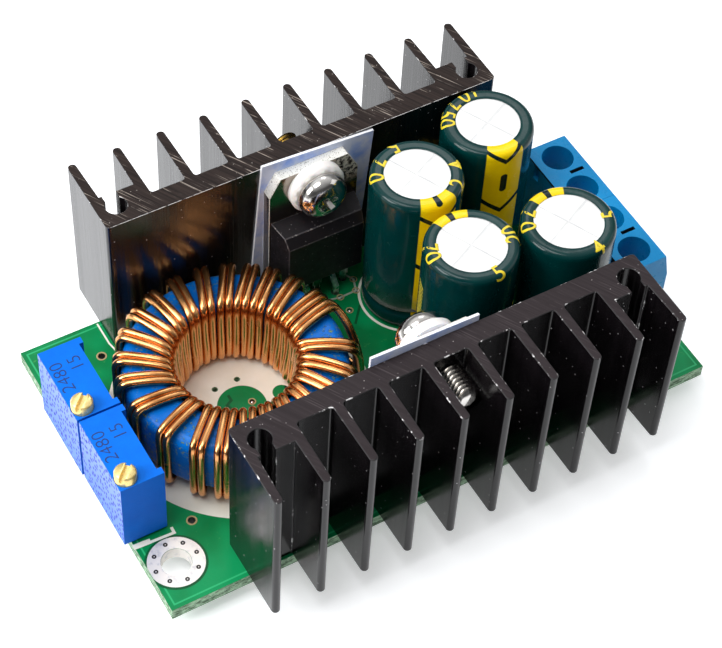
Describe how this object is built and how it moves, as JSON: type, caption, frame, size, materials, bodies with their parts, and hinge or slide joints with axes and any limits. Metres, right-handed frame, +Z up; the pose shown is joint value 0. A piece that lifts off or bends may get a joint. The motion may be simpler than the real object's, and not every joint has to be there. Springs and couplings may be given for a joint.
{
  "type": "step-down converter module",
  "caption": "Circuit board with a toroidal inductor, round capacitors and two power packages on black finned heatsinks, with screw terminals at one end and trimmers at the other.",
  "frame": {"origin": "axis of the mounting hole at the trimmers' end, on the board's underside", "axes": "+X along the board from the trimmers to the terminals, +Y across it to the five-lead package's heatsink, +Z up through the board"},
  "size_m": [0.0663, 0.0475, 0.0246],
  "materials": {
    "board": "green solder mask over glass-fibre laminate",
    "sink": "black anodised extrusion",
    "screw": "nickel-plated steel",
    "package": "black moulded epoxy",
    "tinned": "tinned copper",
    "bush": "white nylon",
    "pad": "pale silicone sheet",
    "core": "blue coated iron powder",
    "wire": "enamelled copper",
    "can": "satin drawn aluminium",
    "sleeve": "dark green shrink sleeve",
    "terminal": "blue moulded plastic",
    "clamp": "zinc-plated steel",
    "trimmer": "blue moulded plastic",
    "adjuster": "turned brass",
    "chip": "black moulded epoxy",
    "ceramic": "ceramic chip"
  },
  "bodies": {
    "module": {"circuit_board": "board", "front_heatsink": "sink", "rear_heatsink": "sink", "heatsink_screws": "screw", "front_thermal_pad": "pad", "rear_thermal_pad": "pad", "rectifier_case": "package", "rectifier_tab": "tinned", "rectifier_side_leads": "tinned", "rectifier_bush": "bush", "rectifier_screw": "screw", "regulator_case": "package", "regulator_tab": "tinned", "regulator_side_leads": "tinned", "regulator_bush": "bush", "regulator_screw": "screw", "inductor_core": "core", "inductor_wire_a": "wire", "inductor_wire_b": "wire", "capacitor_1_can": "can", "capacitor_1_sleeve": "sleeve", "capacitor_1_leads": "tinned", "capacitor_2_can": "can", "capacitor_2_sleeve": "sleeve", "capacitor_2_leads": "tinned", "capacitor_3_can": "can", "capacitor_3_sleeve": "sleeve", "capacitor_3_leads": "tinned", "capacitor_4_can": "can", "capacitor_4_sleeve": "sleeve", "capacitor_4_leads": "tinned", "terminal_1_housing": "terminal", "terminal_2_housing": "terminal", "clamp_1_cage": "clamp", "clamp_2_cage": "clamp", "clamp_3_cage": "clamp", "clamp_4_cage": "clamp", "trimmer_1_housing": "trimmer", "trimmer_1_pins": "tinned", "trimmer_2_housing": "trimmer", "trimmer_2_pins": "tinned", "amplifier_case": "chip", "amplifier_leads": "tinned", "shunt_resistor": "chip", "chip_components": "ceramic"},
    "clamp_plate_1": {"clamp_1_plate": "clamp"},
    "clamp_screw_1": {"clamp_1_screw": "clamp"},
    "clamp_plate_2": {"clamp_2_plate": "clamp"},
    "clamp_screw_2": {"clamp_2_screw": "clamp"},
    "clamp_plate_3": {"clamp_3_plate": "clamp"},
    "clamp_screw_3": {"clamp_3_screw": "clamp"},
    "clamp_plate_4": {"clamp_4_plate": "clamp"},
    "clamp_screw_4": {"clamp_4_screw": "clamp"},
    "trimmer_screw_1": {"trimmer_1_screw": "adjuster"},
    "trimmer_screw_2": {"trimmer_2_screw": "adjuster"}
  },
  "joints": [
    {"name": "clamp_lift_1", "type": "slide", "parent": "module", "child": "clamp_plate_1", "axis": [0, 0, 1], "range_m": [0, 0.0017]},
    {"name": "clamp_turn_1", "type": "hinge", "parent": "clamp_plate_1", "child": "clamp_screw_1", "pos_m": [0.0591, 0.00637, 0.0066], "axis": [0, 0, 1], "range_deg": [0, 1224]},
    {"name": "clamp_lift_2", "type": "slide", "parent": "module", "child": "clamp_plate_2", "axis": [0, 0, 1], "range_m": [0, 0.0017]},
    {"name": "clamp_turn_2", "type": "hinge", "parent": "clamp_plate_2", "child": "clamp_screw_2", "pos_m": [0.0591, 0.01145, 0.0066], "axis": [0, 0, 1], "range_deg": [0, 1224]},
    {"name": "clamp_lift_3", "type": "slide", "parent": "module", "child": "clamp_plate_3", "axis": [0, 0, 1], "range_m": [0, 0.0017]},
    {"name": "clamp_turn_3", "type": "hinge", "parent": "clamp_plate_3", "child": "clamp_screw_3", "pos_m": [0.0591, 0.01653, 0.0066], "axis": [0, 0, 1], "range_deg": [0, 1224]},
    {"name": "clamp_lift_4", "type": "slide", "parent": "module", "child": "clamp_plate_4", "axis": [0, 0, 1], "range_m": [0, 0.0017]},
    {"name": "clamp_turn_4", "type": "hinge", "parent": "clamp_plate_4", "child": "clamp_screw_4", "pos_m": [0.0591, 0.02161, 0.0066], "axis": [0, 0, 1], "range_deg": [0, 1224]},
    {"name": "trimmer_turn_1", "type": "hinge", "parent": "module", "child": "trimmer_screw_1", "pos_m": [-0.0026, 0.0054, 0.0116], "axis": [0, 0, 1], "continuous": true},
    {"name": "trimmer_turn_2", "type": "hinge", "parent": "module", "child": "trimmer_screw_2", "pos_m": [-0.0027, 0.0152, 0.0116], "axis": [0, 0, 1], "continuous": true}
  ],
  "couplings": [
    {"joint": "clamp_turn_1", "follows": "clamp_lift_1", "rad_per_m": 12566},
    {"joint": "clamp_turn_2", "follows": "clamp_lift_2", "rad_per_m": 12566},
    {"joint": "clamp_turn_3", "follows": "clamp_lift_3", "rad_per_m": 12566},
    {"joint": "clamp_turn_4", "follows": "clamp_lift_4", "rad_per_m": 12566}
  ]
}
